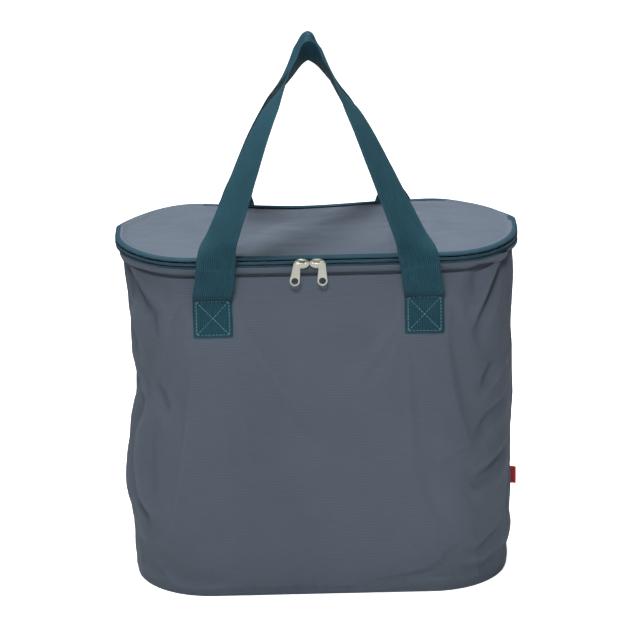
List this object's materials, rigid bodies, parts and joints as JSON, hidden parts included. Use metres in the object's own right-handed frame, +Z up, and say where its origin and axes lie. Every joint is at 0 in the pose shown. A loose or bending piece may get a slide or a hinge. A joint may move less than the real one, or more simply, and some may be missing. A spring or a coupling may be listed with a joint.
{
  "type": "insulated cooler bag",
  "caption": "Soft insulated cooler bag: oval-ended fabric tub with foam walls and foil lining, zipped hinged lid, webbing carrying handles and sliders with pull tabs.",
  "frame": {"origin": "centre of the base, on the floor", "axes": "+Z up, +X along the bag's length towards the side label, front with the zip sliders towards -Y"},
  "size_m": [0.396, 0.2422, 0.5547],
  "materials": {
    "shell_fabric": "matte",
    "lid_fabric": "matte",
    "webbing": "matte",
    "zip_tape": "matte",
    "zip_coil": "satin",
    "nickel": "satin",
    "foam": "matte",
    "foil_lining": "satin",
    "binding": "matte",
    "thread": "matte",
    "grey_thread": "matte",
    "label_fabric": "matte"
  },
  "bodies": {
    "bag": {"front_panel": "shell_fabric", "back_panel": "shell_fabric", "base_panel": "shell_fabric", "wall_foam": "foam", "base_foam": "foam", "wall_lining": "foil_lining", "base_lining": "foil_lining", "rim_binding": "binding", "lower_zip_tape": "zip_tape", "lower_zip_coil": "zip_coil", "lid_hinge_strip": "zip_tape", "rim_topstitch": "grey_thread", "side_label": "label_fabric", "handle_backing_patches": "binding", "front_handle_ends": "webbing", "back_handle_ends": "webbing", "front_handle_stitches": "thread", "back_handle_stitches": "thread"},
    "lid": {"lid_panel": "lid_fabric", "lid_foam": "foam", "lid_lining": "foil_lining", "lid_binding": "binding", "upper_zip_tape": "zip_tape", "upper_zip_coil": "zip_coil", "lid_topstitch": "grey_thread"},
    "front_risers": {"front_handle_risers": "webbing"},
    "front_loop": {"front_handle_loop": "webbing"},
    "back_risers": {"back_handle_risers": "webbing"},
    "back_loop": {"back_handle_loop": "webbing"},
    "left_slider": {"left_slider_body": "nickel"},
    "right_slider": {"right_slider_body": "nickel"},
    "left_pull": {"left_pull_tab": "nickel"},
    "right_pull": {"right_pull_tab": "nickel"}
  },
  "joints": [
    {"name": "lid_hinge", "type": "hinge", "parent": "bag", "child": "lid", "pos_m": [0, 0.0982, 0.35], "axis": [-1, 0, 0], "range_deg": [0, 110]},
    {"name": "front_riser_fold", "type": "hinge", "parent": "bag", "child": "front_risers", "pos_m": [0, -0.0949, 0.313], "axis": [1, 0, 0], "range_deg": [0, 55.5]},
    {"name": "front_loop_drop", "type": "hinge", "parent": "front_risers", "child": "front_loop", "pos_m": [0, -0.11255, 0.352], "axis": [1, 0, 0], "range_deg": [0, 135]},
    {"name": "back_riser_fold", "type": "hinge", "parent": "bag", "child": "back_risers", "pos_m": [0, 0.0949, 0.313], "axis": [-1, 0, 0], "range_deg": [0, 55.5]},
    {"name": "back_loop_drop", "type": "hinge", "parent": "back_risers", "child": "back_loop", "pos_m": [0, 0.11255, 0.352], "axis": [-1, 0, 0], "range_deg": [0, 135]},
    {"name": "left_slider_run", "type": "slide", "parent": "bag", "child": "left_slider", "axis": [-1, 0, 0], "range_m": [0, 0.09]},
    {"name": "right_slider_run", "type": "slide", "parent": "bag", "child": "right_slider", "axis": [1, 0, 0], "range_m": [0, 0.09]},
    {"name": "left_pull_swing", "type": "hinge", "parent": "left_slider", "child": "left_pull", "pos_m": [-0.0201, -0.104, 0.35], "axis": [0, 1, 0], "range_deg": [-15, 80]},
    {"name": "right_pull_swing", "type": "hinge", "parent": "right_slider", "child": "right_pull", "pos_m": [0.0041, -0.104, 0.35], "axis": [0, -1, 0], "range_deg": [-15, 80]}
  ],
  "couplings": [
    {"joint": "front_riser_fold", "follows": "lid_hinge", "ratio": 0.5},
    {"joint": "back_riser_fold", "follows": "lid_hinge", "ratio": 0.5}
  ]
}
